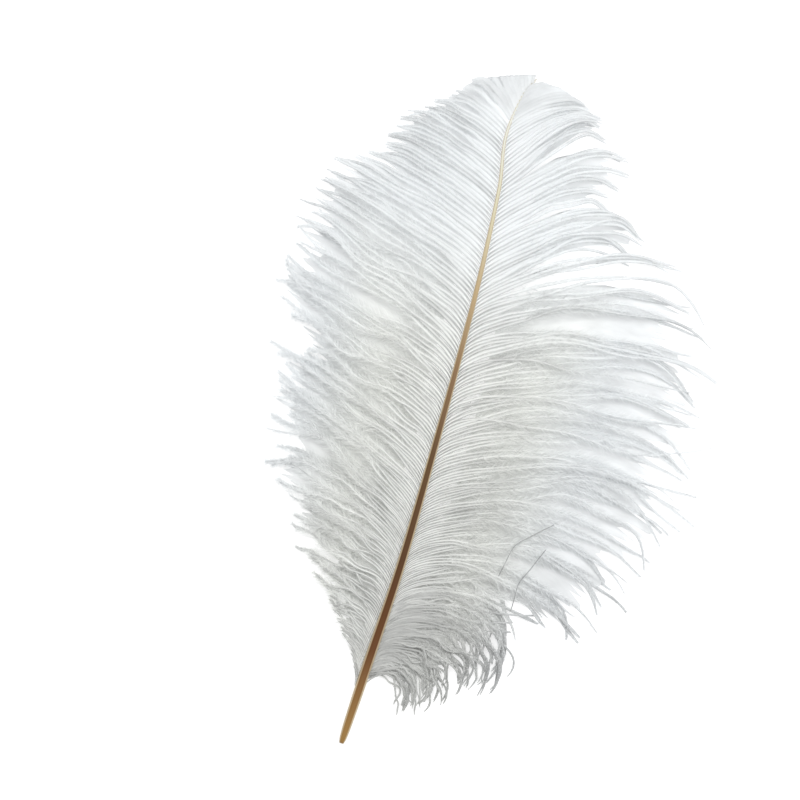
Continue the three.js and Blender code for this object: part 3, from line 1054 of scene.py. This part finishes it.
def color_ramp(nodes, stops):
    ramp = nodes.new("ShaderNodeValToRGB")
    elements = ramp.color_ramp.elements
    elements[0].position, elements[0].color = stops[0][0], (*stops[0][1], 1)
    elements[1].position, elements[1].color = stops[-1][0], (*stops[-1][1], 1)
    for position, color in stops[1:-1]:
        elements.new(position).color = (*color, 1)
    return ramp


def painted(nodes, name):
    """A node that reads what the vertices are painted with."""
    node = nodes.new("ShaderNodeAttribute")
    node.attribute_name = name
    return node


def plume_color(nodes, links):
    """White, lighter or darker by tone and by streaks of painted light and shade, and tinted by coolness."""
    noise = nodes.new("ShaderNodeTexNoise")
    noise.inputs["Scale"].default_value = 1
    noise.inputs["Detail"].default_value = 2
    links.new(painted(nodes, "light_streak_place").outputs["Vector"], noise.inputs["Vector"])
    streaked = nodes.new("ShaderNodeMath")
    streaked.operation = "MULTIPLY_ADD"
    streaked.inputs[1].default_value = LIGHT_STREAK_STRENGTH
    links.new(noise.outputs["Fac"], streaked.inputs[0])
    links.new(painted(nodes, "tone").outputs["Fac"], streaked.inputs[2])
    white = color_ramp(nodes, WHITES)
    links.new(streaked.outputs["Value"], white.inputs["Fac"])
    tint = color_ramp(nodes, TINTS)
    links.new(painted(nodes, "coolness").outputs["Fac"], tint.inputs["Fac"])
    color = nodes.new("ShaderNodeMix")
    color.data_type = "RGBA"
    color.blend_type = "MULTIPLY"
    color.inputs[MIX_SHARE].default_value = 1
    links.new(white.outputs["Color"], color.inputs[MIX_FIRST])
    links.new(tint.outputs["Color"], color.inputs[MIX_SECOND])
    return color.outputs[MIX_RESULT]


def plume_material():
    """Soft white that light shines through."""
    material, nodes, links, output = new_material("plume_white")
    color = plume_color(nodes, links)
    surface = nodes.new("ShaderNodeBsdfPrincipled")
    surface.inputs["Roughness"].default_value = PLUME_ROUGHNESS
    links.new(color, surface.inputs["Base Color"])
    through_light = nodes.new("ShaderNodeBsdfTranslucent")
    links.new(color, through_light.inputs["Color"])
    mix = nodes.new("ShaderNodeMixShader")
    mix.inputs["Fac"].default_value = PLUME_TRANSLUCENCY
    links.new(surface.outputs["BSDF"], mix.inputs[1])
    links.new(through_light.outputs["BSDF"], mix.inputs[2])
    links.new(mix.outputs["Shader"], output.inputs["Surface"])
    return material


def quill_material():
    """Horn: brown for most of its length, darkest in its lower part partly as painted shade, paler to the
    tip, with a pale rim on both sides.
    """
    material, nodes, links, output = new_material("quill_horn")
    place = nodes.new("ShaderNodeTexCoord")
    split = nodes.new("ShaderNodeSeparateXYZ")
    links.new(place.outputs["Generated"], split.inputs["Vector"])
    core = color_ramp(nodes, HORN)
    links.new(split.outputs["Y"], core.inputs["Fac"])
    rim_share = nodes.new("ShaderNodeMapRange")
    rim_share.interpolation_type = "SMOOTHSTEP"
    rim_share.inputs["From Min"].default_value = RIM_SPAN[0]
    rim_share.inputs["From Max"].default_value = RIM_SPAN[1]
    links.new(painted(nodes, "rim").outputs["Fac"], rim_share.inputs["Value"])
    color = nodes.new("ShaderNodeMix")
    color.data_type = "RGBA"
    color.inputs[MIX_SECOND].default_value = HORN_RIM
    links.new(rim_share.outputs["Result"], color.inputs[MIX_SHARE])
    links.new(core.outputs["Color"], color.inputs[MIX_FIRST])
    surface = nodes.new("ShaderNodeBsdfPrincipled")
    surface.inputs["Roughness"].default_value = HORN_ROUGHNESS
    surface.inputs["Specular IOR Level"].default_value = HORN_GLOSS
    links.new(color.outputs[MIX_RESULT], surface.inputs["Base Color"])
    links.new(surface.outputs["BSDF"], output.inputs["Surface"])
    return material


def floor_material():
    material, nodes, links, output = new_material("pale_floor")
    surface = nodes.new("ShaderNodeBsdfPrincipled")
    surface.inputs["Base Color"].default_value = FLOOR_GREY
    surface.inputs["Roughness"].default_value = FLOOR_ROUGHNESS
    surface.inputs["Emission Color"].default_value = WHITE
    surface.inputs["Emission Strength"].default_value = FLOOR_GLOW
    links.new(surface.outputs["BSDF"], output.inputs["Surface"])
    return material


def floor():
    mesh = bpy.data.meshes.new("floor")
    half = FLOOR_HALF
    corners = [(-half, -half, 0), (half, -half, 0), (half, half, 0), (-half, half, 0)]
    mesh.from_pydata(corners, [], [(0, 1, 2, 3)])
    mesh.materials.append(floor_material())
    ground = bpy.data.objects.new("floor", mesh)
    ground.location.z = -FLOOR_GAP
    bpy.context.scene.collection.objects.link(ground)


def room_light():
    world = bpy.data.worlds.new("soft_room")
    world.use_nodes = True
    background = world.node_tree.nodes["Background"]
    background.inputs["Color"].default_value = WHITE
    background.inputs["Strength"].default_value = ROOM_LIGHT
    bpy.context.scene.world = world


def lamp(name, place, power):
    """A soft round lamp that shines on the middle of the plume."""
    light = bpy.data.lights.new(name, "AREA")
    light.shape = "DISK"
    light.size = LAMP_SIZE
    light.energy = power
    holder = bpy.data.objects.new(name, light)
    holder.location = place
    holder.rotation_euler = (-Vector(place)).to_track_quat("-Z", "Y").to_euler()
    bpy.context.scene.collection.objects.link(holder)


def camera():
    data = bpy.data.cameras.new("camera")
    data.sensor_width = SENSOR_WIDTH
    data.lens = SENSOR_WIDTH * CAMERA_HEIGHT / (PICTURE_WIDTH / METRE)
    data.clip_end = CAMERA_REACH
    eye = bpy.data.objects.new("camera", data)
    aside, along = (PICTURE_MIDDLE + PLACE[:2]) / METRE
    eye.location = (aside, along, CAMERA_HEIGHT + PLUME_HEIGHT)
    eye.rotation_euler = (0, 0, math.radians(LEAN))
    bpy.context.scene.collection.objects.link(eye)
    bpy.context.scene.camera = eye


def add_piece(piece, node):
    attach(piece, "root")
    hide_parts(node)


def choose(barbs, which):
    return Barbs(*(values[which] for values in barbs))


def add_vane(node, barbs, material):
    """A vane's barbs, from base to tip, in as few pieces as keep each small enough."""
    a_millimetre = sum(2 * RIBBON_TRIANGLES / kind.spacing for kind in (CLOSE_BARBULES, DOWNY_BARBULES))
    a_strip = 2 * (len(STRIP) - 1) * BARB_POINTS
    triangles = np.array([path_length(path) * a_millimetre + a_strip for path in barbs.paths])
    pieces = math.ceil(triangles.sum() / TRIANGLES_A_PIECE)
    share = np.minimum((np.cumsum(triangles) / triangles.sum() * pieces).astype(int), pieces - 1)
    for number in range(pieces):
        piece = vane_piece(f"{node}_barbs_{number + 1}", choose(barbs, share == number), material)
        add_piece(piece, node)


white = plume_material()
add_piece(quill_piece(quill_material()), "quill")
left = vane_barbs(LEFT_VANE)
right = vane_barbs(RIGHT_VANE)
add_piece(veil_piece("left_vane_veil", LEFT_VANE, white), "left_vane")
add_piece(veil_piece("right_vane_veil", RIGHT_VANE, white), "right_vane")
right = Barbs(*(np.concatenate(values) for values in zip(odd_barbs(), right)))
add_vane("left_vane", left, white)
add_vane("right_vane", right, white)
floor()
room_light()
lamp("key", (-0.4, 0.35, 1.1), 6.8)
lamp("fill", (0.5, 0.25, 1.0), 6.4)
camera()
bpy.context.scene.view_settings.view_transform = "Standard"
